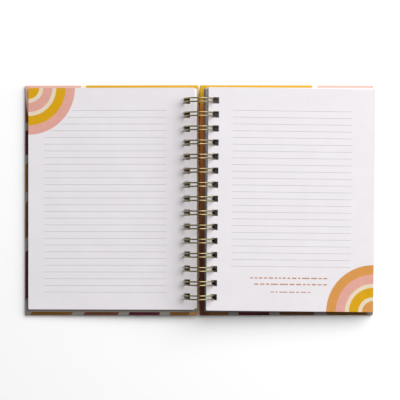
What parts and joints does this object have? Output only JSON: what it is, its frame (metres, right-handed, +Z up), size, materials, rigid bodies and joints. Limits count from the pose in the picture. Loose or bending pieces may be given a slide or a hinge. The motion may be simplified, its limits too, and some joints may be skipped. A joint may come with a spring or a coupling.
{
  "type": "open twin-loop notebook",
  "caption": "Open hard-cover notebook with two separate wrapped covers, ruled leaves in a thin left and a thick right stack, and a twin-loop wire binding they turn on.",
  "frame": {"origin": "on the table, under the axis of the loops and half way up the covers", "axes": "+X across the spread to the back cover's fore-edge, +Y up the page, +Z up from the table"},
  "size_m": [0.3186, 0.2094, 0.0288],
  "materials": {
    "printed_wrap": "matt laminated print",
    "cover_board": "grey board",
    "liner_paper": "smooth white paper",
    "page_paper": "smooth uncoated white paper",
    "binding_wire": "satin gold lacquer on steel wire",
    "grey_ink": "printed ink",
    "mustard_ink": "printed ink",
    "cream_ink": "printed ink",
    "pink_ink": "printed ink",
    "orange_ink": "printed ink"
  },
  "bodies": {
    "back_cover": {"back_wrap": "printed_wrap", "back_board": "cover_board", "back_liner": "liner_paper", "wire": "binding_wire"},
    "right_leaves": {"right_pages": "page_paper", "right_rules": "grey_ink", "right_corner_orange": "orange_ink", "right_corner_cream": "cream_ink", "right_corner_mustard": "mustard_ink", "right_corner_pink": "pink_ink"},
    "front_cover": {"front_wrap": "printed_wrap", "front_board": "cover_board", "front_liner": "liner_paper", "left_pages": "page_paper", "left_rules": "grey_ink", "left_corner_mustard": "mustard_ink", "left_corner_cream": "cream_ink", "left_corner_pink": "pink_ink"}
  },
  "joints": [
    {"name": "front_cover_swing", "type": "hinge", "parent": "back_cover", "child": "front_cover", "pos_m": [0, 0, 0.0144], "axis": [0, 1, 0], "range_deg": [0, 183]},
    {"name": "right_leaves_turn", "type": "hinge", "parent": "back_cover", "child": "right_leaves", "pos_m": [0, 0, 0.0144], "axis": [0, 1, 0], "range_deg": [-183, 0]}
  ]
}
